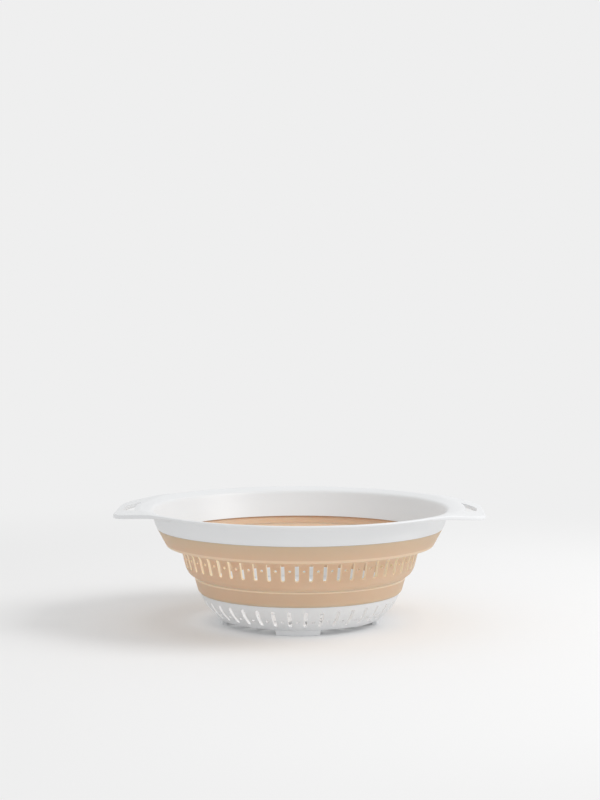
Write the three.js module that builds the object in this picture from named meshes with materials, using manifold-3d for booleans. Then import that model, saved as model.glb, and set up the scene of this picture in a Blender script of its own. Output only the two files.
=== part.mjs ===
// Collapsible colander: a white rim with two ears, a beige folding wall and a white bowl-shaped base.
// Millimetres, +Z up. The origin is on the centre line, at the height of the soles of the feet.
// The ears lie along X. The wall is drawn at its full height, as the colander stands in use.
//
// How it is built: rim and base are hard mouldings. The soft wall is moulded onto both, so the rim
// ends below in a tongue and the base ends above in a flange, and the wall grips each in a groove.
// The wall has stiff shoulder rings with thin steep bands between them. A band turns inside out when
// the rim is pressed down, which lowers everything above it by twice the height of the band.

import * as THREE from 'three';
import { mergeVertices } from 'three/addons/utils/BufferGeometryUtils.js';
import Module from 'manifold-3d';

const wasm = await Module();
wasm.setup();

// Gaps between pieces, and how far a cutter runs past what it cuts
const clearance = 0.3;
const cutOverrun = 3;

// The bowl's outside is a line of steps from the base up. Each step has its run outwards and its rise.
const baseBorderRadius = 75.4;
const baseBorderHeight = 23.3;
const tierThreeFootRun = 1.8;
const tierThreeFootRise = 1.9;
const tierThreeRun = 1.7;
const tierThreeRise = 10.2;
const tierTwoFootRun = 5.1;
const tierTwoFootRise = 4.3;
const tierTwoWaistRun = 2.9;
const tierTwoWaistRise = 3.1;
const tierTwoRun = 4;
const tierTwoRise = 15.3;
const ledgeRun = 9.7;
const ledgeRise = 0.8;
const tierOneRun = 7.3;
const tierOneRise = 13.6;
const bandFootRun = 2;
const bandFootRise = 4.5;
const bandRun = 2.7;
const bandRise = 13;
const lipRun = 8.2;

// Rim: lip, inner side and tongue
const lipThickness = 2;
const lipEdgeDrop = 0.5;
const lipFillet = 3;
const crestMargin = 2.3;
const mouthMargin = 10;
const mouthRound = 5.8;
const rimBorderWidth = 3.9;
const rimThickness = 2.4;
const tongueDepth = 5.3;
const tongueThickness = 1.2;

// Ears: lengths along X are measured from the edge of the lip
const earLength = 18.7;
const earFlat = 48;
const earThickness = 3;
const earDroop = 4;
const earDroopLead = 15.8;
const earRootAngle = 40;
const earRootSweep = 22;
const earTipSweep = 26;
const slotInnerMargin = 4;
const slotOuterMargin = 5.9;
const slotAngle = 10.5;
const slotEndSweep = 5;
const slotSideSweep = 20;

// Soft wall
const wallThickness = 2;
const tierOneFootRound = 5;
const tierThreeFootRound = 1.2;
const beadWidth = 0.8;
const beadDrop = 0.8;

// Seams between stiff rings and turning bands
const upperSeamBelowLedge = 0.7;
const upperSeamBelowWaist = 0.8;
const lowerSeamAboveCrease = 1.8;
const lowerSeamAboveFoot = 1.6;

// Drain holes of the wall
const wallSlotCount = 54;
const wallSlotWidth = 2.8;
const wallSlotBelowLedge = 1.2;
const wallSlotAboveWaist = 1;
const wallDotDiameter = 2.2;
const wallDotBelowLedge = 6.5;

// Base bowl
const baseThickness = 2;
const baseHipRun = 2.6;
const baseHipDrop = 7.7;
const baseHipRound = 5.5;
const baseCornerRun = 11.6;
const neckInset = 1.5;
const neckThickness = 1.5;
const flangeWidth = 1.1;
const flangeRise = 1.2;
const flangeThickness = 1;
const collarRise = 4.5;
const baseSlotCount = 38;
const baseSlotWidth = 2.8;
const baseSlotBelowBorder = 3.5;
const baseSlotAboveCorner = 3.2;
const baseDotDiameter = 2.2;
const baseDotAboveCorner = 7.2;

// Floor of the base
const floorOuterCount = 20;
const floorOuterStart = 34;
const floorOuterMargin = 8.2;
const floorInnerCount = 10;
const floorInnerStart = 13;
const floorInnerEnd = 28;
const floorSlotWidth = 3;

// Feet
const footCount = 4;
const footHeight = 4;
const footInset = 1;
const footThickness = 3.2;
const footLength = 32.5;
const footFillet = 3;

// Facets round the axis and on the curved stretches
const rimFacets = 54;
const wallFacets = wallSlotCount;
const baseFacets = baseSlotCount;
const bendSteps = 2;
const earSteps = 6;
const slotEndSides = 2;
const dotSides = 5;

// Radii and heights of the steps, added up from the base
const tierThreeFootRadius = baseBorderRadius + tierThreeFootRun;
const tierThreeFootHeight = baseBorderHeight + tierThreeFootRise;
const creaseRadius = tierThreeFootRadius + tierThreeRun;
const creaseHeight = tierThreeFootHeight + tierThreeRise;
const tierTwoFootRadius = creaseRadius + tierTwoFootRun;
const tierTwoFootHeight = creaseHeight + tierTwoFootRise;
const tierTwoWaistRadius = tierTwoFootRadius + tierTwoWaistRun;
const tierTwoWaistHeight = tierTwoFootHeight + tierTwoWaistRise;
const ledgeRadius = tierTwoWaistRadius + tierTwoRun;
const ledgeHeight = tierTwoWaistHeight + tierTwoRise;
const tierOneFootRadius = ledgeRadius + ledgeRun;
const tierOneFootHeight = ledgeHeight + ledgeRise;
const rimBorderRadius = tierOneFootRadius + tierOneRun;
const rimBorderHeight = tierOneFootHeight + tierOneRise;
const bandWaistRadius = rimBorderRadius + bandFootRun;
const bandWaistHeight = rimBorderHeight + bandFootRise;
const bandTopRadius = bandWaistRadius + bandRun;
const rimHeight = bandWaistHeight + bandRise;
const lipRadius = bandTopRadius + lipRun;

const degree = Math.PI / 180;
const turn = 2 * Math.PI;

const rimWhite = new THREE.MeshStandardMaterial({ color: 0xf0f1f2, roughness: 0.35, metalness: 0 });
const baseWhite = new THREE.MeshStandardMaterial({ color: 0xe9ebec, roughness: 0.38, metalness: 0 });
const wallBeige = new THREE.MeshStandardMaterial({ color: 0xd8b692, roughness: 0.6, metalness: 0 });

// Solids

function toSolid(geometry) {
  const bare = geometry.clone();
  bare.deleteAttribute('normal');
  bare.deleteAttribute('uv');
  const merged = mergeVertices(bare);
  return new wasm.Manifold(new wasm.Mesh({
    numProp: 3,
    vertProperties: new Float32Array(merged.attributes.position.array),
    triVerts: new Uint32Array(merged.index.array),
  }));
}

function toMesh(name, solid, material) {
  const data = solid.getMesh();
  const geometry = new THREE.BufferGeometry();
  geometry.setAttribute('position', new THREE.BufferAttribute(new Float32Array(data.vertProperties), 3));
  geometry.setIndex(new THREE.BufferAttribute(new Uint32Array(data.triVerts), 1));
  geometry.computeVertexNormals();
  const mesh = new THREE.Mesh(geometry, material);
  mesh.name = name;
  return mesh;
}

// A closed outline of [radius, height] points, turned round the Z axis.
// The turn starts half a facet off the front, so that a facet faces each hole of the pattern.
function revolve(outline, facets) {
  const points = outline.map(([radius, height]) => new THREE.Vector2(radius, height));
  const closed = [...points, points[0].clone()];
  if (signedArea(outline) < 0) closed.reverse();
  const geometry = new THREE.LatheGeometry(closed, facets, Math.PI / facets, turn);
  geometry.rotateX(Math.PI / 2);
  return toSolid(geometry);
}

// As revolve, for an outline that starts and ends on the axis.
function revolveToAxis(outline, facets) {
  const points = outline.map(([radius, height]) => new THREE.Vector2(radius, height));
  if (signedArea(outline) < 0) points.reverse();
  const geometry = new THREE.LatheGeometry(points, facets, Math.PI / facets, turn);
  geometry.rotateX(Math.PI / 2);
  return toSolid(geometry);
}

function signedArea(outline) {
  let sum = 0;
  outline.forEach(([radius, height], index) => {
    const [nextRadius, nextHeight] = outline[(index + 1) % outline.length];
    sum += radius * nextHeight - nextRadius * height;
  });
  return sum / 2;
}

// Profiles

// Replaces each corner [radius, height, round] by a curve that starts and ends that far from it.
function roundCorners(corners) {
  const points = [];
  corners.forEach(([radius, height, round], index) => {
    const corner = new THREE.Vector2(radius, height);
    if (!round) {
      points.push([radius, height]);
      return;
    }
    const before = new THREE.Vector2(...corners[index - 1]).sub(corner);
    const after = new THREE.Vector2(...corners[index + 1]).sub(corner);
    const start = corner.clone().addScaledVector(before.normalize(), round);
    const end = corner.clone().addScaledVector(after.normalize(), round);
    const curve = new THREE.QuadraticBezierCurve(start, corner, end);
    curve.getPoints(bendSteps).forEach((point) => points.push([point.x, point.y]));
  });
  return points;
}

// Moves a line of corners sideways by the wall's thickness, to its left as it is walked along.
function offsetCorners(corners, distance) {
  const sides = corners.slice(1).map(([radius, height], index) => {
    const along = new THREE.Vector2(radius - corners[index][0], height - corners[index][1]).normalize();
    return new THREE.Vector2(-along.y, along.x);
  });
  return corners.map(([radius, height, round], index) => {
    const first = sides[Math.max(index - 1, 0)];
    const second = sides[Math.min(index, sides.length - 1)];
    const middle = first.clone().add(second);
    middle.multiplyScalar(distance * 2 / middle.lengthSq());
    return [radius + middle.x, height + middle.y, round];
  });
}

// The part of a falling line of points that lies between two heights.
function betweenHeights(line, top, bottom) {
  const kept = line.filter(([, height]) => height < top && height > bottom);
  return [[radiusAt(line, top), top], ...kept, [radiusAt(line, bottom), bottom]];
}

function radiusAt(line, height) {
  const index = line.findIndex((point, place) => place > 0 && point[1] <= height);
  const [lowRadius, lowHeight] = line[index];
  const [highRadius, highHeight] = line[index - 1];
  return lowRadius + (highRadius - lowRadius) * (height - lowHeight) / (highHeight - lowHeight);
}

const upperBandTop = ledgeHeight - upperSeamBelowLedge;
const upperBandBottom = tierTwoWaistHeight - upperSeamBelowWaist;
const lowerBandTop = creaseHeight + lowerSeamAboveCrease;
const lowerBandBottom = tierThreeFootHeight + lowerSeamAboveFoot;
const beadRadius = creaseRadius + beadWidth;
const rimInnerRadius = rimBorderRadius - rimBorderWidth;

const outerCorners = [
  [rimBorderRadius, rimBorderHeight, 0],
  [tierOneFootRadius, tierOneFootHeight, tierOneFootRound],
  [ledgeRadius, ledgeHeight, 0],
  [tierTwoWaistRadius, tierTwoWaistHeight, 0],
  [tierTwoFootRadius, tierTwoFootHeight, 0],
  [creaseRadius, creaseHeight, 0],
  [beadRadius, creaseHeight - beadDrop, 0],
  [tierThreeFootRadius, tierThreeFootHeight, tierThreeFootRound],
  [baseBorderRadius, baseBorderHeight, 0],
];
const plainCorners = outerCorners.filter((corner) => corner[0] !== beadRadius);
const insideCorners = offsetCorners(plainCorners, -wallThickness);
insideCorners[0] = [rimInnerRadius, rimBorderHeight, 0];
// The bend at the foot of the third tier is too tight to be round on its inner side as well.
insideCorners[insideCorners.length - 2][2] = 0;

const wallOutside = roundCorners(outerCorners);
const wallInside = roundCorners(insideCorners);

// A ring of the wall between two heights, without the grooves for the rim and the base.
function wallOutline(top, bottom) {
  const outside = betweenHeights(wallOutside, top, bottom);
  const inside = betweenHeights(wallInside, top, bottom);
  return [...outside, ...inside.reverse()];
}

// Hole patterns

// An upright slot with round ends.
function slotShape(width, bottom, top) {
  const half = width / 2;
  const end = Array.from({ length: slotEndSides + 1 }, (unused, index) => {
    const angle = index * Math.PI / slotEndSides;
    return new THREE.Vector2(half * Math.cos(angle), half * Math.sin(angle));
  });
  const upper = end.map((point) => new THREE.Vector2(point.x, top - half + point.y));
  const lower = end.map((point) => new THREE.Vector2(-point.x, bottom + half - point.y));
  return new THREE.Shape([...upper, ...lower]);
}

// The slot cut straight outwards between two radii.
function radialSlot(width, bottom, top, innerRadius, outerRadius) {
  const geometry = new THREE.ExtrudeGeometry(slotShape(width, bottom, top), {
    depth: outerRadius - innerRadius,
    bevelEnabled: false,
  });
  geometry.rotateX(Math.PI / 2);
  geometry.translate(0, -innerRadius, 0);
  return toSolid(geometry);
}

// A round hole cut straight outwards between two radii.
function radialDot(diameter, height, innerRadius, outerRadius) {
  const geometry = new THREE.CylinderGeometry(diameter / 2, diameter / 2, outerRadius - innerRadius, dotSides);
  geometry.translate(0, -(innerRadius + outerRadius) / 2, height);
  return toSolid(geometry);
}

// Copies of a cutter round the axis, the first one turned by the start angle from the front.
function ringOf(cutter, count, startAngle) {
  const copies = Array.from({ length: count }, (unused, index) => {
    return cutter.rotate([0, 0, (startAngle + index * turn / count) / degree]);
  });
  return wasm.Manifold.union(copies);
}

// Rim with its two ears

const tongueFoot = rimBorderHeight - tongueDepth;
const crestRadius = lipRadius - crestMargin;
const earReach = lipRadius + earLength;
const earDroopStart = lipRadius - earDroopLead;
const slotInnerRadius = lipRadius + slotInnerMargin;
const slotReach = earReach - slotOuterMargin;

function tongueSides(thickness, height) {
  const middle = (radiusAt(wallOutside, height) + radiusAt(wallInside, height)) / 2;
  return [middle - thickness / 2, middle + thickness / 2];
}

const lipUnderside = rimHeight - lipThickness;

// The inner side of the rim, from its border with the wall up and over the round edge of the mouth.
const rimInside = roundCorners([
  [rimInnerRadius, rimBorderHeight, 0],
  [bandWaistRadius - rimThickness, bandWaistHeight + lipThickness, 0],
  [lipRadius - mouthMargin, rimHeight, mouthRound],
  [crestRadius, rimHeight, 0],
]);

function rimRing() {
  const [rootInner, rootOuter] = tongueSides(tongueThickness, rimBorderHeight);
  const [footInner, footOuter] = tongueSides(tongueThickness, tongueFoot);
  const outside = roundCorners([
    [lipRadius, rimHeight - lipEdgeDrop, 0],
    [lipRadius, lipUnderside, 0],
    [bandTopRadius, lipUnderside, lipFillet],
    [bandWaistRadius, bandWaistHeight, 0],
    [rimBorderRadius, rimBorderHeight, 0],
  ]);
  const tongue = [
    [rootOuter, rimBorderHeight],
    [footOuter, tongueFoot],
    [footInner, tongueFoot],
    [rootInner, rimBorderHeight],
  ];
  return revolve([...rimInside, ...outside, ...tongue], rimFacets);
}

// The open space inside the rim, which the ears stay out of.
function rimMouth() {
  const below = rimBorderHeight - cutOverrun;
  const above = rimHeight + cutOverrun;
  return revolveToAxis([[0, below], [rimInnerRadius, below], ...rimInside, [crestRadius, above], [0, above]], rimFacets);
}

// One ear, to the right: its outline from above, within a plate that droops towards the tip.
function ear() {
  const outline = new THREE.ExtrudeGeometry(earOutline(), {
    depth: rimHeight,
    bevelEnabled: false,
    curveSegments: earSteps,
  });
  const plate = new THREE.ExtrudeGeometry(earSide(), {
    depth: 2 * lipRadius,
    bevelEnabled: false,
    curveSegments: earSteps,
  });
  plate.rotateX(Math.PI / 2);
  plate.translate(0, lipRadius, 0);
  return toSolid(outline).intersect(toSolid(plate));
}

function earOutline() {
  const rootAngle = earRootAngle * degree;
  const rootX = lipRadius * Math.cos(rootAngle);
  const rootY = lipRadius * Math.sin(rootAngle);
  const alongX = earRootSweep * Math.sin(rootAngle);
  const alongY = earRootSweep * Math.cos(rootAngle);
  const tipY = earFlat / 2;
  const shape = new THREE.Shape();
  shape.moveTo(rootX, -rootY);
  shape.bezierCurveTo(rootX + alongX, -rootY + alongY, earReach, -tipY - earTipSweep, earReach, -tipY);
  shape.lineTo(earReach, tipY);
  shape.bezierCurveTo(earReach, tipY + earTipSweep, rootX + alongX, rootY - alongY, rootX, rootY);
  shape.absarc(0, 0, bandTopRadius - rimThickness / 2, rootAngle, -rootAngle, true);
  shape.holes.push(hangSlot());
  return shape;
}

function earSide() {
  const start = Math.min(earDroopStart, lipRadius * Math.cos(earRootAngle * degree));
  const bend = (earDroopStart + earReach) / 2;
  const end = earReach + cutOverrun;
  const drop = earDroop * (end - earDroopStart) / (earReach - earDroopStart);
  const shape = new THREE.Shape();
  shape.moveTo(start - cutOverrun, rimHeight);
  shape.lineTo(start - cutOverrun, rimHeight - earThickness);
  shape.lineTo(earDroopStart, rimHeight - earThickness);
  shape.quadraticCurveTo(bend, rimHeight - earThickness, end, rimHeight - drop - earThickness);
  shape.lineTo(end, rimHeight - drop);
  shape.quadraticCurveTo(bend, rimHeight, earDroopStart, rimHeight);
  return shape;
}

// The slot to hang the colander by: its inner side follows the rim and its outer side the ear.
function hangSlot() {
  const angle = slotAngle * degree;
  const endX = slotInnerRadius * Math.cos(angle);
  const endY = slotInnerRadius * Math.sin(angle);
  const bowX = slotEndSweep * Math.sin(angle);
  const bowY = slotEndSweep * Math.cos(angle);
  const path = new THREE.Path();
  path.absarc(0, 0, slotInnerRadius, -angle, angle, false);
  path.bezierCurveTo(endX - bowX, endY + bowY, slotReach, slotSideSweep, slotReach, 0);
  path.bezierCurveTo(slotReach, -slotSideSweep, endX - bowX, -endY - bowY, endX, -endY);
  return path;
}

function rim() {
  const ears = ringOf(ear().subtract(rimMouth()), 2, 0);
  return rimRing().add(ears);
}

// Soft wall, from the rim down

// First tier with the ledge below it. The groove in its top edge takes the tongue of the rim.
function upperWallRing() {
  const ring = revolve(wallOutline(rimBorderHeight - clearance, upperBandTop + clearance), wallFacets);
  const grooveWidth = tongueThickness + 2 * clearance;
  const grooveFoot = tongueFoot - clearance;
  const [rootInner, rootOuter] = tongueSides(grooveWidth, rimBorderHeight);
  const [footInner, footOuter] = tongueSides(grooveWidth, grooveFoot);
  const groove = revolve([
    [rootInner, rimBorderHeight],
    [rootOuter, rimBorderHeight],
    [footOuter, grooveFoot],
    [footInner, grooveFoot],
  ], wallFacets);
  return ring.subtract(groove);
}

// Steep band with the drain slots and the dots between them. It turns inside out.
function upperFoldBand() {
  const band = revolve(wallOutline(upperBandTop, upperBandBottom), wallFacets);
  const inner = tierTwoWaistRadius - wallThickness - cutOverrun;
  const outer = ledgeRadius + cutOverrun;
  const slotTop = ledgeHeight - wallSlotBelowLedge;
  const slotBottom = tierTwoWaistHeight + wallSlotAboveWaist;
  const dotHeight = ledgeHeight - wallDotBelowLedge;
  const slots = ringOf(radialSlot(wallSlotWidth, slotBottom, slotTop, inner, outer), wallSlotCount, 0);
  const dots = ringOf(radialDot(wallDotDiameter, dotHeight, inner, outer), wallSlotCount, Math.PI / wallSlotCount);
  return band.subtract(slots).subtract(dots);
}

// Foot of the second tier, down to just above the crease below it.
function middleWallRing() {
  return revolve(wallOutline(upperBandBottom - clearance, lowerBandTop + clearance), wallFacets);
}

// Crease, bead and third tier. It turns inside out as well.
function lowerFoldBand() {
  return revolve(wallOutline(lowerBandTop, lowerBandBottom), wallFacets);
}

// Foot of the third tier. It hooks round the flange of the base, outside its collar.
const flangeBottom = baseBorderHeight + flangeRise;
const flangeTop = flangeBottom + flangeThickness;
const collarTop = flangeTop + collarRise;

function lowerWallRing() {
  const top = lowerBandBottom - clearance;
  const bottom = baseBorderHeight + clearance;
  const outside = betweenHeights(wallOutside, top, bottom);
  const neck = neckRadius + clearance;
  return revolve([
    ...outside,
    [neck, bottom],
    [neck, flangeBottom - clearance],
    [flangeRadius + clearance, flangeBottom - clearance],
    [flangeRadius + clearance, flangeTop + clearance],
    [neck, flangeTop + clearance],
    [radiusAt(wallInside, top), top],
  ], wallFacets);
}

// Base bowl with drain slots, perforated floor and four feet. A collar stands up inside the wall.

const floorTop = footHeight + baseThickness;
const baseHipRadius = baseBorderRadius - baseHipRun;
const baseHipHeight = baseBorderHeight - baseHipDrop;
const baseCornerRadius = baseHipRadius - baseCornerRun;
const neckRadius = baseBorderRadius - neckInset;
const neckInnerRadius = neckRadius - neckThickness;
const flangeRadius = neckRadius + flangeWidth;
const footRadius = baseCornerRadius - footInset;

function bowlShell() {
  const outsideCorners = [
    [baseBorderRadius, baseBorderHeight, 0],
    [baseHipRadius, baseHipHeight, baseHipRound],
    [baseCornerRadius, footHeight, 0],
    [0, footHeight, 0],
  ];
  const inside = offsetCorners(outsideCorners, -baseThickness).map(([radius, height]) => [radius, height, 0]);
  inside[0] = [neckInnerRadius, baseBorderHeight, 0];
  inside[3] = [0, floorTop, 0];
  const top = [
    [neckInnerRadius, collarTop],
    [neckRadius, collarTop],
    [neckRadius, flangeTop],
    [flangeRadius, flangeTop],
    [flangeRadius, flangeBottom],
    [neckRadius, flangeBottom],
    [neckRadius, baseBorderHeight],
  ];
  return revolveToAxis([...roundCorners(inside).reverse(), ...top, ...roundCorners(outsideCorners)], baseFacets);
}

function foot() {
  const half = footLength / 2;
  const top = footHeight + baseThickness / 2;
  const shape = new THREE.Shape();
  shape.moveTo(-half, 0);
  shape.lineTo(half, 0);
  shape.lineTo(half, footHeight - footFillet);
  shape.quadraticCurveTo(half, footHeight, half + footFillet, footHeight);
  shape.lineTo(half + footFillet, top);
  shape.lineTo(-half - footFillet, top);
  shape.lineTo(-half - footFillet, footHeight);
  shape.quadraticCurveTo(-half, footHeight, -half, footHeight - footFillet);
  const geometry = new THREE.ExtrudeGeometry(shape, {
    depth: footRadius,
    bevelEnabled: false,
    curveSegments: bendSteps,
  });
  geometry.rotateX(Math.PI / 2);
  return toSolid(geometry);
}

function feet() {
  const ring = revolve([
    [footRadius - footThickness, 0],
    [footRadius, 0],
    [footRadius, floorTop - baseThickness / 2],
    [footRadius - footThickness, floorTop - baseThickness / 2],
  ], baseFacets);
  return ringOf(foot(), footCount, 0).intersect(ring);
}

function floorSlots(count, start, end, startAngle) {
  const geometry = new THREE.ExtrudeGeometry(slotShape(floorSlotWidth, -end, -start), {
    depth: baseThickness + 2 * cutOverrun,
    bevelEnabled: false,
  });
  geometry.translate(0, 0, footHeight - cutOverrun);
  return ringOf(toSolid(geometry), count, startAngle);
}

// The shell is turned by half a slot's pitch, so that a dot and not a slot faces the front.
function baseBowl() {
  const inner = baseCornerRadius - cutOverrun;
  const outer = baseBorderRadius + cutOverrun;
  const slotBottom = footHeight + baseSlotAboveCorner;
  const slotTop = baseBorderHeight - baseSlotBelowBorder;
  const dotHeight = footHeight + baseDotAboveCorner;
  const floorOuterEnd = baseCornerRadius - floorOuterMargin;
  const halfPitch = Math.PI / baseSlotCount;
  const slots = ringOf(radialSlot(baseSlotWidth, slotBottom, slotTop, inner, outer), baseSlotCount, 0);
  const dots = ringOf(radialDot(baseDotDiameter, dotHeight, inner, outer), baseSlotCount, halfPitch);
  return bowlShell()
    .subtract(slots)
    .subtract(dots)
    .rotate([0, 0, halfPitch / degree])
    .add(feet())
    .subtract(floorSlots(floorOuterCount, floorOuterStart, floorOuterEnd, Math.PI / floorOuterCount))
    .subtract(floorSlots(floorInnerCount, floorInnerStart, floorInnerEnd, 0));
}

const colander = new THREE.Group();
colander.add(
  toMesh('rim', rim(), rimWhite),
  toMesh('upper_wall_ring', upperWallRing(), wallBeige),
  toMesh('upper_fold_band', upperFoldBand(), wallBeige),
  toMesh('middle_wall_ring', middleWallRing(), wallBeige),
  toMesh('lower_fold_band', lowerFoldBand(), wallBeige),
  toMesh('lower_wall_ring', lowerWallRing(), wallBeige),
  toMesh('base_bowl', baseBowl(), baseWhite),
);

export default colander;
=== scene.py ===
import math

import bmesh
import bpy
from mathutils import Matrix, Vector


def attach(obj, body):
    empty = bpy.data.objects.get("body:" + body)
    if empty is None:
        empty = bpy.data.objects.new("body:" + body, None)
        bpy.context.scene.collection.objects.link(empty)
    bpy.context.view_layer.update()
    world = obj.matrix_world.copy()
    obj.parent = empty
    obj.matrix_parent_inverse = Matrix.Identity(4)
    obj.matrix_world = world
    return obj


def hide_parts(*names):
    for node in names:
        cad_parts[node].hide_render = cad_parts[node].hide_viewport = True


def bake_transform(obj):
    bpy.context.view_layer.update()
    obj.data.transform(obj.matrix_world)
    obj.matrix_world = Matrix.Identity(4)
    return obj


# Collapsible colander: a white rim with two ears, a beige folding wall and a white base.
# Sizes are in millimetres, and a profile's points are (radius, height) or
# [radius, height, rounding], in the half plane beside the centre line.

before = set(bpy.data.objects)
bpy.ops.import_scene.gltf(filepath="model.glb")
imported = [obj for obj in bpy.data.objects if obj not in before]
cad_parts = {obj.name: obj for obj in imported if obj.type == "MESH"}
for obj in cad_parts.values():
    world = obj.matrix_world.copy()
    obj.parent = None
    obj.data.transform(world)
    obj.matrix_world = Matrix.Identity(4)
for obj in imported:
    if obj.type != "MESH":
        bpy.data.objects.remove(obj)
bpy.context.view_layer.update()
mm = 0.001  # one millimetre in metres
sharpTurn = 1.0  # an edge that turns by more than this, in radians, is a hole's mouth
upright = 0.1  # a face whose normal rises less than this stands upright
cutThrough = 3  # a cutter is this many times as deep as the wall
print("frame loaded")


# Small helpers

def deselectAll():
    if bpy.context.object and bpy.context.object.mode != "OBJECT":
        bpy.ops.object.mode_set(mode="OBJECT")
    bpy.ops.object.select_all(action="DESELECT")


def makeActive(piece):
    deselectAll()
    piece.select_set(True)
    bpy.context.view_layer.objects.active = piece


def applyModifier(piece, kind, **values):
    makeActive(piece)
    modifier = piece.modifiers.new(kind.title(), kind)
    for name, value in values.items():
        setattr(modifier, name, value)
    bpy.ops.object.modifier_apply(modifier=modifier.name)


def deletePieces(pieces):
    deselectAll()
    for piece in pieces:
        piece.select_set(True)
    bpy.ops.object.delete()


def joinPieces(name, pieces):
    deselectAll()
    for piece in pieces:
        piece.select_set(True)
    bpy.context.view_layer.objects.active = pieces[0]
    bpy.ops.object.join()
    pieces[0].name = name
    return pieces[0]


def selectInEditMode(kind, test):
    # opens the active piece in edit mode with only the vertices, edges or faces that pass the test
    if bpy.context.object.mode != "EDIT":
        bpy.ops.object.mode_set(mode="EDIT")
    bpy.ops.mesh.select_mode(type=kind)
    bpy.ops.mesh.select_all(action="DESELECT")
    mesh = bmesh.from_edit_mesh(bpy.context.object.data)
    parts = {"VERT": mesh.verts, "EDGE": mesh.edges, "FACE": mesh.faces}[kind]
    for part in parts:
        if test(part):
            part.select_set(True)
    mesh.select_flush_mode()
    bmesh.update_edit_mesh(bpy.context.object.data)


def edgeMiddle(edge):
    return (edge.verts[0].co + edge.verts[1].co) / 2


def isSharp(edge, turn=sharpTurn):
    return len(edge.link_faces) == 2 and edge.calc_face_angle(0) > turn


def weld(piece, distance=0.01 * mm):
    makeActive(piece)
    bpy.ops.object.mode_set(mode="EDIT")
    bpy.ops.mesh.select_all(action="SELECT")
    bpy.ops.mesh.remove_doubles(threshold=distance)
    bpy.ops.mesh.normals_make_consistent(inside=False)
    bpy.ops.object.mode_set(mode="OBJECT")


def smooth(piece, degrees=35, largeFaceWeight=60):
    makeActive(piece)
    bpy.ops.object.shade_smooth_by_angle(angle=math.radians(degrees))
    applyModifier(piece, "WEIGHTED_NORMAL", keep_sharp=True, weight=largeFaceWeight)


def reportMesh(piece):
    mesh = bmesh.new()
    mesh.from_mesh(piece.data)
    openEdges = sum(1 for edge in mesh.edges if len(edge.link_faces) != 2)
    triangles = sum(len(face.verts) - 2 for face in mesh.faces)
    heights = [vertex.co.z / mm for vertex in mesh.verts]
    print(piece.name, "triangles", triangles, "open or crowded edges", openEdges,
          "volume cm3", round(mesh.calc_volume() * 1e6, 2),
          "from", round(min(heights), 2), "to", round(max(heights), 2))
    mesh.free()


# Profiles

def between(start, end, share):
    # the point at a share of the way from the start to the end
    return tuple(first + (second - first) * share for first, second in zip(start, end))


def arcAt(before, corner, after, radius, step):
    # the points of a round corner, from one side to the other
    nearlyStraight = math.radians(89.5)
    nearlyHalf = 0.49
    corner = Vector(corner)
    first = Vector(before) - corner
    second = Vector(after) - corner
    half = first.angle(second) / 2
    if radius <= 0 or half > nearlyStraight:
        return [tuple(corner)]
    longest = min(first.length, second.length) * nearlyHalf
    reach = min(radius / math.tan(half), longest)
    radius = reach * math.tan(half)
    inwards = (first.normalized() + second.normalized()).normalized()
    middle = corner + inwards * radius / math.sin(half)
    start = corner + first.normalized() * reach - middle
    end = corner + second.normalized() * reach - middle
    turning = math.pi - 2 * half
    count = max(2, math.ceil(turning / math.radians(step)))
    points = []
    for index in range(count + 1):
        share = index / count
        a = math.sin((1 - share) * turning) / math.sin(turning)
        b = math.sin(share * turning) / math.sin(turning)
        points.append(tuple(middle + start * a + end * b))
    return points


def roundedLine(corners, step=8, longest=3.0, closed=False):
    # a line of corners with round bends, and no straight stretch longer than the given length
    points = []
    for index, (radius, height, rounding) in enumerate(corners):
        atEnd = not closed and index in (0, len(corners) - 1)
        if atEnd or not rounding:
            points.append((radius, height))
            continue
        before = corners[index - 1][:2]
        after = corners[(index + 1) % len(corners)][:2]
        points += arcAt(before, (radius, height), after, rounding, step)
    line = []
    samePlace = 1e-6
    ends = points[1:] + points[:1] if closed else points[1:]
    for start, end in zip(points, ends):
        gap = math.dist(start, end)
        if gap < samePlace:
            continue
        pieces = max(1, math.ceil(gap / longest))
        for part in range(pieces):
            line.append(between(start, end, part / pieces))
    if not closed:
        line.append(points[-1])
    return line


def bendAt(before, corner, after, reach, count):
    # a soft corner with a fixed number of points, starting and ending at its reach from the corner
    corner = Vector(corner)
    start = corner + (Vector(before) - corner).normalized() * reach
    end = corner + (Vector(after) - corner).normalized() * reach
    points = []
    for index in range(count + 1):
        share = index / count
        place = start * (1 - share) ** 2 + corner * 2 * share * (1 - share) + end * share ** 2
        points.append(tuple(place))
    return points


def stretchBetween(start, end, count):
    # the points that part a straight stretch, without its ends
    start = Vector(start)
    end = Vector(end)
    return [tuple(start.lerp(end, index / (count + 1))) for index in range(1, count + 1)]


def bezierPoint(points, share):
    a, b, c, d = (Vector(point) for point in points)
    rest = 1 - share
    return a * rest ** 3 + b * 3 * rest ** 2 * share + c * 3 * rest * share ** 2 + d * share ** 3


def lengthsAlong(line):
    lengths = [0.0]
    for start, end in zip(line, line[1:]):
        lengths.append(lengths[-1] + math.dist(start, end))
    return lengths


def lengthAtHeight(line, height):
    # how far along a falling line a height is reached
    lengths = lengthsAlong(line)
    for index, (start, end) in enumerate(zip(line, line[1:])):
        if end[1] <= height <= start[1] and start[1] > end[1]:
            share = (start[1] - height) / (start[1] - end[1])
            return lengths[index] + (lengths[index + 1] - lengths[index]) * share
    raise ValueError("the line does not reach that height")


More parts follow.
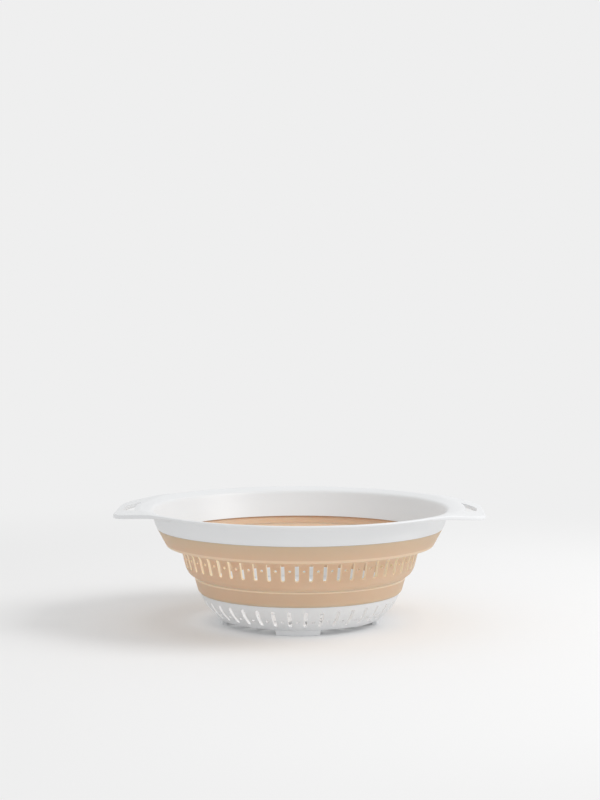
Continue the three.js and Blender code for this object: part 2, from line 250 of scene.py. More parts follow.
def offsetInwards(line, thickness):
    # the inside of a wall whose outside runs down and inwards
    sharpest = 0.8  # keeps the offset short where the line turns sharply
    inside = []
    for index, (radius, height) in enumerate(line):
        before = line[max(index - 1, 0)]
        after = line[min(index + 1, len(line) - 1)]
        first = Vector((radius - before[0], height - before[1]))
        second = Vector((after[0] - radius, after[1] - height))
        first = first.normalized() if first.length else second.normalized()
        second = second.normalized() if second.length else first
        along = (first + second).normalized()
        reach = thickness / max(sharpest, along.dot(first))
        inside.append((radius + along.y * reach, height - along.x * reach))
    return inside


# Turned and pierced walls

def spinProfile(name, outline, steps):
    # draws the closed outline point by point and spins it round the centre line
    deselectAll()
    bpy.ops.mesh.primitive_plane_add(size=mm, location=(0, 0, 0))
    piece = bpy.context.object
    piece.name = name
    bpy.ops.object.mode_set(mode="EDIT")
    bpy.ops.mesh.select_mode(type="VERT")
    bpy.ops.mesh.select_all(action="SELECT")
    bpy.ops.mesh.merge(type="CENTER")
    radius, height = outline[0]
    bpy.ops.transform.translate(value=(radius * mm, 0, height * mm))
    for start, end in zip(outline, outline[1:]):
        step = ((end[0] - start[0]) * mm, 0, (end[1] - start[1]) * mm)
        bpy.ops.mesh.extrude_region_move(TRANSFORM_OT_translate={"value": step})
    selectInEditMode("VERT", lambda vertex: len(vertex.link_edges) == 1)
    bpy.ops.mesh.edge_face_add()
    bpy.ops.mesh.select_all(action="SELECT")
    bpy.ops.mesh.spin(steps=steps, angle=2 * math.pi, center=(0, 0, 0), axis=(0, 0, 1))
    bpy.ops.object.mode_set(mode="OBJECT")
    weld(piece)
    return piece


def slotCutter(width, low, high, across, depth):
    # an upright bar with round ends, longer than the wall is thick
    nearlyHalf = 0.4999
    cornerSteps = 7
    place = (across * mm, depth * mm / 2, (low + high) * mm / 2)
    deselectAll()
    bpy.ops.mesh.primitive_cube_add(size=1, location=place)
    cutter = bpy.context.object
    bpy.ops.object.mode_set(mode="EDIT")
    bpy.ops.transform.resize(value=(width * mm, cutThrough * depth * mm, (high - low) * mm))
    selectInEditMode(
        "EDGE", lambda edge: abs(edge.verts[0].co.y - edge.verts[1].co.y) > depth * mm)
    bpy.ops.mesh.bevel(
        offset=width * mm * nearlyHalf, segments=cornerSteps, affect="EDGES", clamp_overlap=True)
    bpy.ops.object.mode_set(mode="OBJECT")
    return cutter


def dotCutter(diameter, height, across, depth):
    sides = 16
    deselectAll()
    bpy.ops.mesh.primitive_cylinder_add(
        vertices=sides, radius=diameter * mm / 2, depth=cutThrough * depth * mm,
        location=(across * mm, depth * mm / 2, height * mm), rotation=(math.pi / 2, 0, 0))
    return bpy.context.object


def plateOf(name, outline, low, high):
    # a flat plate with the given outline from above
    deselectAll()
    bpy.ops.mesh.primitive_circle_add(vertices=len(outline), radius=1, fill_type="NGON")
    plate = bpy.context.object
    plate.name = name
    for vertex, (x, y) in zip(plate.data.vertices, outline):
        vertex.co = (x * mm, y * mm, low * mm)
    bpy.ops.object.mode_set(mode="EDIT")
    bpy.ops.mesh.select_all(action="SELECT")
    bpy.ops.mesh.extrude_region_move(TRANSFORM_OT_translate={"value": (0, 0, (high - low) * mm)})
    bpy.ops.mesh.select_all(action="SELECT")
    bpy.ops.mesh.normals_make_consistent(inside=False)
    bpy.ops.object.mode_set(mode="OBJECT")
    return plate


def roundMouths(test, reach):
    # rounds the chosen edges of the piece that is open in edit mode
    selectInEditMode("EDGE", test)
    bpy.ops.mesh.bevel(offset=reach * mm, segments=2, affect="EDGES", clamp_overlap=True)


def cutAway(piece, cutters):
    for cutter in cutters:
        applyModifier(piece, "BOOLEAN", operation="DIFFERENCE", solver="EXACT", object=cutter)
    deletePieces(cutters)


def markPaintedLight(piece, amount, test):
    # marks faces on a crease or in a hole with an amount of painted light, which the material
    # paints as a lighter colour
    thin = piece.data.attributes.get("paintedLightAmount")
    if not thin:
        thin = piece.data.attributes.new("paintedLightAmount", "FLOAT", "FACE")
    for face in piece.data.polygons:
        if test(face):
            thin.data[face.index].value = amount


def markPaintedLightRing(piece, amount, radii, heights):
    # paints light on the faces whose middles lie between two radii and two heights
    def isInRing(face):
        radius = face.center.xy.length / mm
        height = face.center.z / mm
        return radii[0] < radius < radii[1] and heights[0] < height < heights[1]

    markPaintedLight(piece, amount, isInRing)


def sectorWidth(size):
    # how wide one sector is, laid flat
    return 2 * math.pi * size["nominalRadius"] / size["sectors"]


def piercedWall(name, outside, inside, size, holes):
    # One flat sector is cut and rounded, copied side by side, and laid round the centre line.
    # Its height is the way along the profile, and its depth runs from the outside to the inside.
    lengths = lengthsAlong(outside)
    sectors = size["sectors"]
    width = sectorWidth(size)
    depth = 2.0
    left = -width / 4
    deselectAll()
    bpy.ops.mesh.primitive_grid_add(
        x_subdivisions=size["columns"], y_subdivisions=len(outside) - 1, size=1)
    piece = bpy.context.object
    piece.name = name
    for vertex in piece.data.vertices:
        row = round((0.5 - vertex.co.y) * (len(outside) - 1))
        vertex.co = (left * mm + (vertex.co.x + 0.5) * width * mm, 0, -lengths[row] * mm)
    bpy.ops.object.mode_set(mode="EDIT")
    bpy.ops.mesh.select_all(action="SELECT")
    bpy.ops.mesh.extrude_region_move(TRANSFORM_OT_translate={"value": (0, depth * mm, 0)})
    bpy.ops.mesh.select_all(action="SELECT")
    bpy.ops.mesh.normals_make_consistent(inside=False)
    bpy.ops.object.mode_set(mode="OBJECT")
    cutters = []
    for hole in holes:
        high = -hole["start"]
        if hole["kind"] == "slot":
            cutter = slotCutter(hole["width"], -hole["end"], high, hole["across"], depth)
        else:
            cutter = dotCutter(hole["width"], high, hole["across"], depth)
        cutters.append(cutter)
    cutAway(piece, cutters)

    # the mouths of the holes are rounded on both faces, and the open sides lose their faces
    makeActive(piece)
    margin = 0.05 * mm
    samePlace = 0.0001 * mm
    facingAside = 0.9
    facingOut = 0.98
    ends = (left * mm, (left + width) * mm)
    lowest = -lengths[-1] * mm

    def isMouth(edge):
        middle = edgeMiddle(edge)
        inWidth = ends[0] + margin < middle.x < ends[1] - margin
        inHeight = lowest + margin < middle.z < -margin
        return isSharp(edge) and inWidth and inHeight

    def isAtEnd(vertex):
        return any(abs(vertex.co.x - end) < samePlace for end in ends)

    def isSide(face):
        return abs(face.normal.x) > facingAside and all(isAtEnd(vertex) for vertex in face.verts)

    def isInHole(face):
        return abs(face.normal.y) < facingOut and lowest + margin < face.center.z < -margin

    roundMouths(isMouth, size["mouthRound"])
    selectInEditMode("FACE", isSide)
    bpy.ops.mesh.delete(type="FACE")
    bpy.ops.object.mode_set(mode="OBJECT")
    # the sides of the holes get painted light
    markPaintedLight(piece, 1.0, isInHole)
    applyModifier(
        piece, "ARRAY", count=sectors, use_relative_offset=False, use_constant_offset=True,
        constant_offset_displace=(width * mm, 0, 0), use_merge_vertices=True,
        merge_threshold=0.002 * mm)

    for vertex in piece.data.vertices:
        along = min(max(-vertex.co.z / mm, 0), lengths[-1])
        row = 0
        while row < len(lengths) - 2 and lengths[row + 1] < along:
            row += 1
        share = (along - lengths[row]) / (lengths[row + 1] - lengths[row])
        outer = between(outside[row], outside[row + 1], share)
        inner = between(inside[row], inside[row + 1], share)
        radius, height = between(outer, inner, vertex.co.y / mm / depth)
        azimuth = vertex.co.x / mm / width * 2 * math.pi / sectors
        x = radius * math.sin(azimuth)
        y = -radius * math.cos(azimuth)
        vertex.co = (x * mm, y * mm, height * mm)
    weld(piece)
    return piece


# Materials

def newMaterial(name):
    material = bpy.data.materials.new(name)
    material.use_nodes = True
    return material, material.node_tree.nodes, material.node_tree.links


def mouldedPlastic(name, look):
    # a moulded surface: slow drifts of tone and gloss, with a fine grain in the relief, and
    # painted light on marked faces
    driftDetail = 3
    grainDetail = 2
    toneSteps = ((0.35, look["toneLow"]), (0.65, look["toneHigh"]))
    material, nodes, links = newMaterial(name)
    shader = nodes["Principled BSDF"]
    place = nodes.new("ShaderNodeTexCoord")
    drift = nodes.new("ShaderNodeTexNoise")
    drift.inputs["Scale"].default_value = look["driftScale"]
    drift.inputs["Detail"].default_value = driftDetail
    tone = nodes.new("ShaderNodeValToRGB")
    for element, (position, colour) in zip(tone.color_ramp.elements, toneSteps):
        element.position = position
        element.color = (*colour, 1)
    gloss = nodes.new("ShaderNodeMapRange")
    gloss.inputs["To Min"].default_value = look["roughLow"]
    gloss.inputs["To Max"].default_value = look["roughHigh"]
    grain = nodes.new("ShaderNodeTexNoise")
    grain.inputs["Scale"].default_value = look["grainScale"]
    grain.inputs["Detail"].default_value = grainDetail
    relief = nodes.new("ShaderNodeBump")
    relief.inputs["Strength"].default_value = look["grainStrength"]
    relief.inputs["Distance"].default_value = look["grainDepth"]
    links.new(place.outputs["Object"], drift.inputs["Vector"])
    links.new(place.outputs["Object"], grain.inputs["Vector"])
    links.new(drift.outputs["Fac"], tone.inputs["Fac"])
    links.new(drift.outputs["Fac"], gloss.inputs["Value"])
    links.new(grain.outputs["Fac"], relief.inputs["Height"])
    links.new(gloss.outputs["Result"], shader.inputs["Roughness"])
    links.new(relief.outputs["Normal"], shader.inputs["Normal"])
    shader.inputs["Specular IOR Level"].default_value = look["specular"]
    shader.inputs["Subsurface Weight"].default_value = look["glow"]
    shader.inputs["Subsurface Radius"].default_value = look["glowColour"]
    shader.inputs["Subsurface Scale"].default_value = look["glowDepth"]
    # painted light: marked creases and hole sides get a lighter colour, standing in for light
    # glowing through thin walls and catching the creases
    edge = nodes.new("ShaderNodeAttribute")
    edge.attribute_name = "paintedLightAmount"
    lighten = nodes.new("ShaderNodeMix")
    lighten.data_type = "RGBA"
    lighten.inputs["B"].default_value = (*look["paintedLightTone"], 1)
    links.new(edge.outputs["Fac"], lighten.inputs["Factor"])
    links.new(tone.outputs["Color"], lighten.inputs["A"])
    links.new(lighten.outputs["Result"], shader.inputs["Base Color"])
    return material


whitePlasticLook = {
    "toneLow": (0.82, 0.83, 0.84),
    "toneHigh": (0.84, 0.85, 0.86),
    "driftScale": 9,
    "roughLow": 0.34,
    "roughHigh": 0.42,
    "grainScale": 900,
    "grainStrength": 0.05,
    "grainDepth": 0.0001,
    "specular": 0.45,
    "glow": 0.0,
    "glowColour": (1, 1, 1),
    "glowDepth": 0.001,
    # painted light on the sides of the holes
    "paintedLightTone": (0.97, 0.97, 0.97),
}
beigeRubberLook = {
    "toneLow": (0.675, 0.50, 0.345),
    "toneHigh": (0.70, 0.52, 0.36),
    "driftScale": 14,
    "roughLow": 0.5,
    "roughHigh": 0.6,
    "grainScale": 1600,
    "grainStrength": 0.08,
    "grainDepth": 0.0001,
    "specular": 0.5,
    "glow": 0.6,
    "glowColour": (1.0, 0.7, 0.5),
    "glowDepth": 0.004,
    # painted light on creases and the sides of the holes
    "paintedLightTone": (0.92, 0.75, 0.58),
}
whitePlastic = mouldedPlastic("whitePlastic", whitePlasticLook)
beigeRubber = mouldedPlastic("beigeRubber", beigeRubberLook)


def finishPiece(piece, material):
    piece.data.materials.clear()
    piece.data.materials.append(material)
    for face in piece.data.polygons:
        face.material_index = 0
    reportMesh(piece)


# Camera, floor and light

view = {
    "side": 0.0383,
    "distance": 1.5144,
    "height": 0.2808,
    "pitch": 85.75,
    "turn": 1.45,
    "lens": 90.75,
}
bpy.ops.object.camera_add(
    location=(view["side"], -view["distance"], view["height"]),
    rotation=(math.radians(view["pitch"]), 0, math.radians(view["turn"])))
camera = bpy.context.object
camera.data.lens = view["lens"]
bpy.context.scene.camera = camera

studio = {
    "backgroundGrey": 0.863,
    "floorGrey": 0.85,
    "floorRough": 0.9,
    "floorSize": 12,
    "clearNear": 0.35,
    "clearFar": 0.75,
    "floorGlow": 0.07,
    "skyStrength": 0.72,
    "keyPower": 12.5,
    "keySize": 0.9,
    "keyPlace": (1.25, -0.2, 1.3),
    "keyAim": (0, 0, 0.04),
}


def seenRays(nodes, links, ray):
    # camera rays, and those seen in a shiny or clear surface
    total = nodes.new("ShaderNodeMath")
    total.operation = "ADD"
    links.new(ray.outputs["Is Camera Ray"], total.inputs[0])
    links.new(ray.outputs["Is Glossy Ray"], total.inputs[1])
    both = nodes.new("ShaderNodeMath")
    both.operation = "ADD"
    both.use_clamp = True
    links.new(total.outputs["Value"], both.inputs[0])
    links.new(ray.outputs["Is Transmission Ray"], both.inputs[1])
    return both.outputs["Value"]


def paleFloor():
    # near the object it takes shadows, and farther out it fades into the background's grey
    deselectAll()
    bpy.ops.mesh.primitive_plane_add(size=studio["floorSize"], location=(0, 0, 0))
    floor = bpy.context.object
    floor.name = "paleFloor"
    material, nodes, links = newMaterial("paleFloor")
    shader = nodes["Principled BSDF"]
    grey = studio["floorGrey"]
    shader.inputs["Base Color"].default_value = (grey, grey, grey, 1)
    shader.inputs["Roughness"].default_value = studio["floorRough"]
    shader.inputs["Specular IOR Level"].default_value = 0.0
    shader.inputs["Emission Color"].default_value = (1, 1, 1, 1)
    shader.inputs["Emission Strength"].default_value = studio["floorGlow"]
    glow = nodes.new("ShaderNodeEmission")
    bright = studio["backgroundGrey"]
    glow.inputs["Color"].default_value = (bright, bright, bright, 1)
    place = nodes.new("ShaderNodeTexCoord")
    far = nodes.new("ShaderNodeVectorMath")
    far.operation = "LENGTH"
    fade = nodes.new("ShaderNodeMapRange")
    fade.interpolation_type = "SMOOTHSTEP"
    fade.inputs["From Min"].default_value = studio["clearNear"]
    fade.inputs["From Max"].default_value = studio["clearFar"]
    ray = nodes.new("ShaderNodeLightPath")
    seen = nodes.new("ShaderNodeMath")
    seen.operation = "MULTIPLY"
    mix = nodes.new("ShaderNodeMixShader")
    links.new(place.outputs["Object"], far.inputs[0])
    links.new(far.outputs["Value"], fade.inputs["Value"])
    links.new(fade.outputs["Result"], seen.inputs[0])
    links.new(seenRays(nodes, links, ray), seen.inputs[1])
    links.new(seen.outputs["Value"], mix.inputs["Fac"])
    links.new(shader.outputs["BSDF"], mix.inputs[1])
    links.new(glow.outputs["Emission"], mix.inputs[2])
    links.new(mix.outputs["Shader"], nodes["Material Output"].inputs["Surface"])
    floor.data.materials.append(material)


def studioWorld():
    world = bpy.data.worlds.new("studio")
    world.use_nodes = True
    bpy.context.scene.world = world
    nodes = world.node_tree.nodes
    links = world.node_tree.links
    sky = nodes["Background"]
    sky.inputs["Color"].default_value = (1, 1, 1, 1)
    sky.inputs["Strength"].default_value = studio["skyStrength"]
    back = nodes.new("ShaderNodeBackground")
    back.inputs["Color"].default_value = (1, 1, 1, 1)
    back.inputs["Strength"].default_value = studio["backgroundGrey"]
    ray = nodes.new("ShaderNodeLightPath")
    mix = nodes.new("ShaderNodeMixShader")
    links.new(seenRays(nodes, links, ray), mix.inputs["Fac"])
    links.new(sky.outputs["Background"], mix.inputs[1])
    links.new(back.outputs["Background"], mix.inputs[2])
    links.new(mix.outputs["Shader"], nodes["World Output"].inputs["Surface"])


def keyLight():
    place = Vector(studio["keyPlace"])
    aim = Vector(studio["keyAim"]) - place
    turn = aim.to_track_quat("-Z", "Y").to_euler()
    bpy.ops.object.light_add(type="AREA", location=place, rotation=turn)
    lamp = bpy.context.object
    lamp.data.energy = studio["keyPower"]
    lamp.data.size = studio["keySize"]


paleFloor()
studioWorld()
keyLight()
bpy.context.scene.view_settings.view_transform = "Standard"
print("camera, floor and light made")


# Folding wall, upper part: first and second tier, from the rim down to the crease

upperWallSize = {
    "thickness": 2.0,
    "skirtTop": (105.45, 72.5),
    "skirtOuter": (102.9, 66.95),
    "skirtInner": (101.5, 66.95),
    "seatEdge": 0.15,  # the wall steps in within this much of the seat's foot
    "seatClear": 0.5,  # and has no other point down to this much below it
    "sectors": 54,
    "columns": 4,
    "nominalRadius": 88.5,
    "slotWidth": 2.8,
    "slotTop": 56.9,
    "slotBottom": 43.8,
    "dotWidth": 2.2,
    "dotHeight": 51.6,
    "mouthRound": 0.55,
    # painted highlights: a lighter colour on the ledge's edge, and on the wall's foot at the
    # crease, where it also paints out the crease's shade
    "ledgeShine": (0.5, (98.4, 110), (58.4, 61.6)),  # amount, radii and heights
    "creaseShine": (0.3, (0, 80.8), (0, 36.9)),
    "bendStep": 8,  # degrees between the points of a bend
    "longest": 1.8,  # between the points of a straight stretch
    "outside": [
        [107.9, 72.5, 0],
        [100.8, 59.3, 1.1],
        [90.5, 58.7, 7],
        [86.5, 42.8, 9],
        [84.3, 38.7, 5],
        [79.4, 35.35, 0],
    ],
}


def seatForSkirt(outside, inside, size):
    # the inside of the top edge is stepped, to take the skirt of the rim
    step = size["skirtInner"][1]

    def rowBelow(height):
        return next(row for row, point in enumerate(outside) if point[1] < height)

    share = (outside[0][1] - outside[1][1]) / (outside[0][1] - step)
    above = outside[:2]
    within = [size["skirtTop"], between(size["skirtTop"], size["skirtOuter"], share)]
    for height in (step + size["seatEdge"], step - size["seatEdge"]):
        row = rowBelow(height)
        part = (outside[row - 1][1] - height) / (outside[row - 1][1] - outside[row][1])
        above.append(between(outside[row - 1], outside[row], part))
    within += [size["skirtOuter"], size["skirtInner"]]
    row = rowBelow(step - size["seatClear"])
    return above + outside[row:], within + inside[row:]


def upperWall():
    size = upperWallSize
    outside = roundedLine(size["outside"], step=size["bendStep"], longest=size["longest"])
    inside = offsetInwards(outside, size["thickness"])
    outside, inside = seatForSkirt(outside, inside, size)
    holes = [
        {
            "kind": "slot",
            "width": size["slotWidth"],
            "start": lengthAtHeight(outside, size["slotTop"]),
            "end": lengthAtHeight(outside, size["slotBottom"]),
            "across": 0,
        },
        {
            "kind": "dot",
            "width": size["dotWidth"],
            "start": lengthAtHeight(outside, size["dotHeight"]),
            "across": sectorWidth(size) / 2,
        },
    ]
    piece = piercedWall("upperWall", outside, inside, size, holes)
    # painted highlights on the ledge and at the crease
    markPaintedLightRing(piece, *size["ledgeShine"])
    markPaintedLightRing(piece, *size["creaseShine"])
    smooth(piece)
    finishPiece(piece, beigeRubber)
    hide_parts("upper_wall_ring", "upper_fold_band", "middle_wall_ring")
    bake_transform(piece)


upperWall()
print("upper wall made")


# Folding wall, lower part: the bead under the crease and the third tier

lowerWallSize = {
    "steps": 216,
    # painted highlight: a lighter colour on the bead under the crease
    "beadShine": (0.9, (79.0, 100), (34.0, 100)),  # amount, radii and heights
    "bendStep": 15,
    "longest": 2.2,
    "outline": [
        [78.27, 37.0, 0],
        [79.4, 35.35, 0],
        [79.75, 34.3, 0.6],
        [77.2, 25.2, 1.6],
        [75.45, 23.4, 0.3],
        [74.0, 23.4, 0],
        [74.0, 24.45, 0],
        [75.1, 24.45, 0],
        [75.1, 25.55, 0],
        [74.0, 25.55, 0],
        [74.0, 26.1, 0.3],
        [75.5, 27.0, 0.8],
        [76.9, 34.2, 2],
    ],
}


def lowerWall():
    size = lowerWallSize
    outline = roundedLine(
        size["outline"], step=size["bendStep"], longest=size["longest"], closed=True)
    piece = spinProfile("lowerWall", outline, size["steps"])
    # the bead gets its painted highlight
    markPaintedLightRing(piece, *size["beadShine"])
    smooth(piece)
    finishPiece(piece, beigeRubber)
    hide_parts("lower_fold_band", "lower_wall_ring")
    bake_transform(piece)


lowerWall()
print("lower wall made")


# Rim: the white band, the lip round the mouth, and the two ears

rimSize = {
    "steps": 288,
    "top": 89.0,
    "skirtTop": (105.4, 72.5),
    "skirtOuter": (102.85, 67.0),
    "skirtInner": (101.5, 67.0),
    "footSoft": 0.35,
    "waistInner": (107.5, 79.0),
    "waistReach": 2.5,
    "mouthCorner": (111.0, 86.5),
    "mouthReach": 2.0,
    "crest": 118.5,
    "crestReach": 1.2,
    "crestDrift": 0.12,  # how far the crest moves out with the ear, as a share
    "lipRadius": 120.8,
    "lipEdgeTop": 88.6,
    "lipUnderside": 87.3,
    "lipFillet": 3.0,
    "lipRound": 0.65,
    "bandTop": 112.6,
    "waistOuter": (109.9, 77.0),
    "footOuter": (107.9, 72.5),
    "earReach": 138.7,
    "earThickness": 3.0,
    "earDroop": 4.0,
    "earDroopStart": 108.0,
    "earDroopPower": 1.25,
    "droopRadii": (113.5, 118.5),  # the droop sets in between them
    "earFillet": 5.5,
    "earRound": 1.1,
    "earOnset": 4,  # the lip takes the ear's section this many times sooner than its reach
    "earSide": [(92.5, 77.6), (106.7, 60.8), (138.7, 50.0), (138.7, 24.0)],
    "slotInnerRadius": 124.8,
    "slotReach": 133.6,
    "slotAngle": 10.5,
    "slotEndSweep": 5.0,
    "slotSideSweep": 20.0,
    "slotCut": (75, 100),
    "slotMouth": 0.5,
    "slotMouthTurn": 0.9,
    "slotZone": (121.5, 134.5, 24.0, 70.0),  # least and greatest x, greatest y, least height
}


def earRadius(azimuth):
    # how far the lip reaches at an angle from the ears' centre line
    side = rimSize["earSide"]
    rootAngle = math.atan2(side[0][1], side[0][0])
    tipAngle = math.atan2(side[3][1], side[3][0])
    if azimuth >= rootAngle:
        return rimSize["lipRadius"]
    if azimuth <= tipAngle:
        return rimSize["earReach"] / math.cos(azimuth)
    low = 0.0
    high = 1.0
    halvings = 40
    for step in range(halvings):
        middle = (low + high) / 2
        place = bezierPoint(side, middle)
        if math.atan2(place.y, place.x) > azimuth:
            low = middle
        else:
            high = middle
    return bezierPoint(side, low).length


def rimProfile(azimuth):
    # the closed outline of the rim at an angle from the ears' centre line
    size = rimSize
    reach = earRadius(azimuth)
    ear = min(1.0, (reach - size["lipRadius"]) / (size["earReach"] - size["lipRadius"]))
    early = min(1.0, ear * size["earOnset"])
    earUnderside = size["top"] - size["earThickness"]
    edgeTop = size["lipEdgeTop"] + (size["top"] - size["lipEdgeTop"]) * early
    underside = size["lipUnderside"] + (earUnderside - size["lipUnderside"]) * early
    crest = size["crest"] + (reach - size["lipRadius"]) * size["crestDrift"]
    fillet = size["lipFillet"] + (size["earFillet"] - size["lipFillet"]) * early
    edgeRound = size["lipRound"] + (size["earRound"] - size["lipRound"]) * early

    # each corner with the reach of its bend, the bend's steps, and the points just before it
    corners = [
        (size["skirtTop"], size["footSoft"], 1, 0),
        (size["skirtOuter"], size["footSoft"], 1, 0),
        (size["skirtInner"], size["footSoft"], 2, 0),
        (size["waistInner"], size["waistReach"], 4, 2),
        (size["mouthCorner"], size["mouthReach"], 6, 2),
        ((crest, size["top"]), size["crestReach"], 4, 3),
        ((reach, edgeTop), edgeRound, 4, 7),
        ((reach, underside), edgeRound, 4, 0),
        ((size["bandTop"], underside), fillet, 7, 7),
        (size["waistOuter"], size["waistReach"], 4, 0),
        (size["footOuter"], size["footSoft"], 2, 0),
    ]
    points = []
    for index, (corner, bendReach, steps, stretch) in enumerate(corners):
        before = corners[index - 1][0]
        after = corners[(index + 1) % len(corners)][0]
        bend = bendAt(before, corner, after, bendReach, steps)
        if stretch:
            points += stretchBetween(points[-1], bend[0], stretch)
        points += bend
    return points


def hangSlotOutline():
    # the slot's outline from above: an arc towards the bowl and a round far side
    size = rimSize
    arcSteps = 8
    sideSteps = 14
    inner = size["slotInnerRadius"]
    angle = math.radians(size["slotAngle"])
    endX = inner * math.cos(angle)
    endY = inner * math.sin(angle)
    bowX = size["slotEndSweep"] * math.sin(angle)
    bowY = size["slotEndSweep"] * math.cos(angle)
    side = [
        (endX, endY),
        (endX - bowX, endY + bowY),
        (size["slotReach"], size["slotSideSweep"]),
        (size["slotReach"], 0),
    ]
    half = []
    for index in range(arcSteps + 1):
        turn = angle * index / arcSteps
        half.append((inner * math.cos(turn), inner * math.sin(turn)))
    half += [tuple(bezierPoint(side, (index + 1) / sideSteps)) for index in range(sideSteps)]
    return half + [(x, -y) for x, y in reversed(half[1:-1])]


def earDroopAt(x, radius):
    # how far the ear has sunk at a distance from the middle
    size = rimSize
    length = size["earReach"] - size["earDroopStart"]
    past = max(0.0, abs(x) - size["earDroopStart"]) / length
    first, full = size["droopRadii"]
    lip = min(1.0, max(0.0, (radius - first) / (full - first)))
    return size["earDroop"] * past ** size["earDroopPower"] * lip


def rimWithEars():
    # the plain lip is spun, and then each point is drawn out to the profile at its own angle
    size = rimSize
    plain = rimProfile(math.pi / 2)
    piece = spinProfile("rimWithEars", plain, size["steps"])
    profiles = {}
    for vertex in piece.data.vertices:
        azimuth = math.atan2(abs(vertex.co.y), abs(vertex.co.x))
        key = round(azimuth, 5)
        if key not in profiles:
            profiles[key] = rimProfile(azimuth)
        radius = math.hypot(vertex.co.x, vertex.co.y) / mm
        place = (radius, vertex.co.z / mm)
        nearest = min(range(len(plain)), key=lambda index: math.dist(plain[index], place))
        newRadius, newHeight = profiles[key][nearest]
        grow = newRadius / radius
        x = vertex.co.x * grow
        newHeight -= earDroopAt(x / mm, newRadius)
        vertex.co = (x, vertex.co.y * grow, newHeight * mm)

    for side in (1, -1):
        outline = [(x * side, y) for x, y in hangSlotOutline()]
        cutAway(piece, [plateOf("hangSlotCut", outline, *size["slotCut"])])
    makeActive(piece)
    leastX, greatestX, greatestY, leastHeight = size["slotZone"]

    def isSlotMouth(edge):
        middle = edgeMiddle(edge) / mm
        inPlan = leastX < abs(middle.x) < greatestX and abs(middle.y) < greatestY
        return inPlan and middle.z > leastHeight and isSharp(edge, size["slotMouthTurn"])

    roundMouths(isSlotMouth, size["slotMouth"])
    bpy.ops.object.mode_set(mode="OBJECT")
    smooth(piece)
    finishPiece(piece, whitePlastic)
    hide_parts("rim")
    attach(piece, "top")


rimWithEars()
print("rim made")


# Base: the pierced bowl with its slotted floor and four feet

baseSize = {
    "sectors": 38,
    "columns": 4,
    "nominalRadius": 69.0,
    "collarOutside": [(73.6, 30.0), (73.9, 29.7), (73.9, 25.55)],
    "collarInside": [(72.7, 30.0), (72.4, 29.7), (72.4, 25.55)],
    "flangeOutside": [(75.0, 25.5), (75.0, 24.5), (73.9, 24.45), (73.9, 23.5)],
    "flangeInside": [(72.4, 25.45), (72.4, 24.55), (72.4, 24.4), (72.4, 23.6)],
    "wallTop": (75.4, 23.3),
    "hip": (72.8, 15.6),
    "hipReach": 6.5,
    "corner": (61.2, 4.0),
    "cornerReach": 0.9,
    "floorRadius": 57.0,
    "floorBottom": 4.0,
    "thickness": 2.0,
    "slotWidth": 2.8,
    "slotTop": 19.8,
    "slotBottom": 7.2,
    "dotWidth": 2.2,
    "dotHeight": 11.2,
    "mouthRound": 0.3,
    "longest": 1.9,
    "floorSlotWidth": 3.0,
    "outerSlots": (20, 34.0, 53.0, 0.5),  # number, inner and outer end, turn in steps
    "innerSlots": (10, 13.0, 28.0, 0.0),
    "floorSlotReach": 54.0,
    "footRadius": 60.2,
    "footThickness": 3.2,
    "footLength": 32.5,
    "footFillet": 3.0,
    "footRound": 0.35,
    "footLean": 0.1,  # how far its ends lean out on the way up
    "footSunk": 0.06,  # the fillets' ends lie this deep in the floor
    "footRise": 1.0,  # the foot's top is this deep in the floor
}


def isEdgeWall(face, test):
    # an upright face whose corners' radii, in millimetres, all pass the test
    return abs(face.normal.z) < upright and all(
        test(vertex.co.xy.length / mm) for vertex in face.verts)


def baseWall():
    size = baseSize
    floorEdge = (size["floorRadius"], size["floorBottom"])
    line = [size["wallTop"]]
    line += bendAt(size["wallTop"], size["hip"], size["corner"], size["hipReach"], 7)
    line += bendAt(size["hip"], size["corner"], floorEdge, size["cornerReach"], 4)
    wall = roundedLine([[*point, 0] for point in line + [floorEdge]], longest=size["longest"])
    within = offsetInwards(wall, size["thickness"])
    within[0] = (size["flangeInside"][-1][0], wall[0][1])
    within[-1] = (size["floorRadius"], size["floorBottom"] + size["thickness"])
    outside = size["collarOutside"] + size["flangeOutside"] + wall
    inside = size["collarInside"] + size["flangeInside"] + within
    holes = [
        {
            "kind": "dot",
            "width": size["dotWidth"],
            "start": lengthAtHeight(outside, size["dotHeight"]),
            "across": 0,
        },
        {
            "kind": "slot",
            "width": size["slotWidth"],
            "start": lengthAtHeight(outside, size["slotTop"]),
            "end": lengthAtHeight(outside, size["slotBottom"]),
            "across": sectorWidth(size) / 2,
        },
    ]
    return piercedWall("baseWall", outside, inside, size, holes)


def turned(x, y, turn):
    # a place turned round the centre line
    return x * math.cos(turn) - y * math.sin(turn), x * math.sin(turn) + y * math.cos(turn)


def radialSlotOutline(start, end, width, turn):
    # a slot with round ends that points outwards from the middle of the floor
    half = width / 2
    endSteps = 8
    outline = []
    for middle, first in ((end - half, -90), (start + half, 90)):
        for index in range(endSteps + 1):
            angle = math.radians(first + index * 180 / endSteps)
            x = middle + half * math.cos(angle)
            outline.append(turned(x, half * math.sin(angle), turn))
    return outline


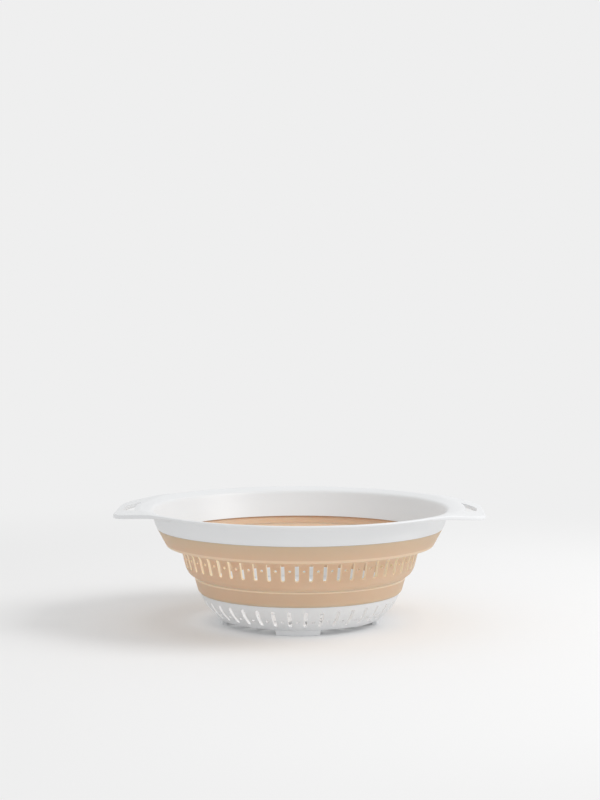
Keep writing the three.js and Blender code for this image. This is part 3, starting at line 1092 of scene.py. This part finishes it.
def baseFloor():
    size = baseSize
    low = size["floorBottom"]
    high = low + size["thickness"]
    overrun = 2
    touching = 0.01
    deselectAll()
    bpy.ops.mesh.primitive_cylinder_add(
        vertices=size["sectors"] * size["columns"], radius=size["floorRadius"] * mm,
        depth=(high - low) * mm, location=(0, 0, (low + high) / 2 * mm))
    floor = bpy.context.object
    bpy.ops.object.transform_apply(location=True, rotation=False, scale=False)
    cutters = []
    for count, start, end, offset in (size["outerSlots"], size["innerSlots"]):
        for index in range(count):
            turn = math.pi / 2 + (index + offset) * 2 * math.pi / count
            outline = radialSlotOutline(start, end, size["floorSlotWidth"], turn)
            cutters.append(plateOf("floorSlotCut", outline, low - overrun, high + overrun))
    cutAway(floor, [joinPieces("floorSlotCuts", cutters)])
    makeActive(floor)
    roundMouths(
        lambda edge: isSharp(edge) and edgeMiddle(edge).xy.length < size["floorSlotReach"] * mm,
        size["mouthRound"])
    selectInEditMode("FACE", lambda face: isEdgeWall(
        face, lambda radius: radius > size["floorRadius"] - touching))
    bpy.ops.mesh.delete(type="ONLY_FACE")
    bpy.ops.mesh.select_all(action="SELECT")
    bpy.ops.mesh.delete_loose()
    bpy.ops.object.mode_set(mode="OBJECT")
    return floor


def baseFoot(turn):
    # a curved bar under the edge of the floor, its ends running softly into the floor
    size = baseSize
    half = size["footLength"] / 2
    fillet = size["footFillet"]
    low = size["floorBottom"]
    soft = size["footRound"]
    wide = size["footThickness"]
    straightSteps = 10
    across = 8
    leanEnd = half + size["footLean"]
    ceiling = low + size["footSunk"]
    columns = [((half - soft) * index / straightSteps, 0.0) for index in range(straightSteps)]
    columns += bendAt((0, 0), (half, 0), (half, low), soft, 3)
    columns += bendAt((half, 0), (leanEnd, ceiling), (leanEnd + fillet, ceiling), fillet, 6)
    columns = [(-x, height) for x, height in reversed(columns[1:])] + columns
    deselectAll()
    bpy.ops.mesh.primitive_grid_add(
        x_subdivisions=len(columns) - 1, y_subdivisions=across, size=1)
    foot = bpy.context.object
    foot.name = "baseFoot"
    top = low + size["footRise"]
    bevel = soft * 0.3  # about what a round corner leaves of a sharp one
    for vertex in foot.data.vertices:
        x, height = columns[round((vertex.co.x + 0.5) * (len(columns) - 1))]
        section = [
            (0, top), (0, height + soft), (bevel, height + bevel), (soft, height),
            (wide - soft, height), (wide - bevel, height + bevel), (wide, height + soft),
            (wide, top), (0, top)]
        into, z = section[round((vertex.co.y + 0.5) * across)]
        y = -math.sqrt((size["footRadius"] - into) ** 2 - x ** 2)
        newX, newY = turned(x, y, turn)
        vertex.co = (newX * mm, newY * mm, z * mm)
    weld(foot)
    bpy.ops.object.mode_set(mode="EDIT")
    bpy.ops.mesh.select_all(action="SELECT")
    bpy.ops.mesh.fill_holes(sides=0)
    bpy.ops.mesh.normals_make_consistent(inside=False)
    bpy.ops.object.mode_set(mode="OBJECT")
    return foot


def baseBowl():
    size = baseSize
    touching = 0.01
    wall = baseWall()
    makeActive(wall)
    selectInEditMode("FACE", lambda face: isEdgeWall(
        face, lambda radius: radius < size["floorRadius"] + touching))
    bpy.ops.mesh.delete(type="FACE")
    bpy.ops.object.mode_set(mode="OBJECT")
    piece = joinPieces("baseBowl", [wall, baseFloor()])
    weld(piece, 2 * touching * mm)
    for index in range(4):
        foot = baseFoot(index * math.pi / 2)
        applyModifier(piece, "BOOLEAN", operation="UNION", solver="EXACT", object=foot)
        deletePieces([foot])
    smooth(piece)
    finishPiece(piece, whitePlastic)
    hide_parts("base_bowl")
    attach(piece, "base")


baseBowl()
print("base made")
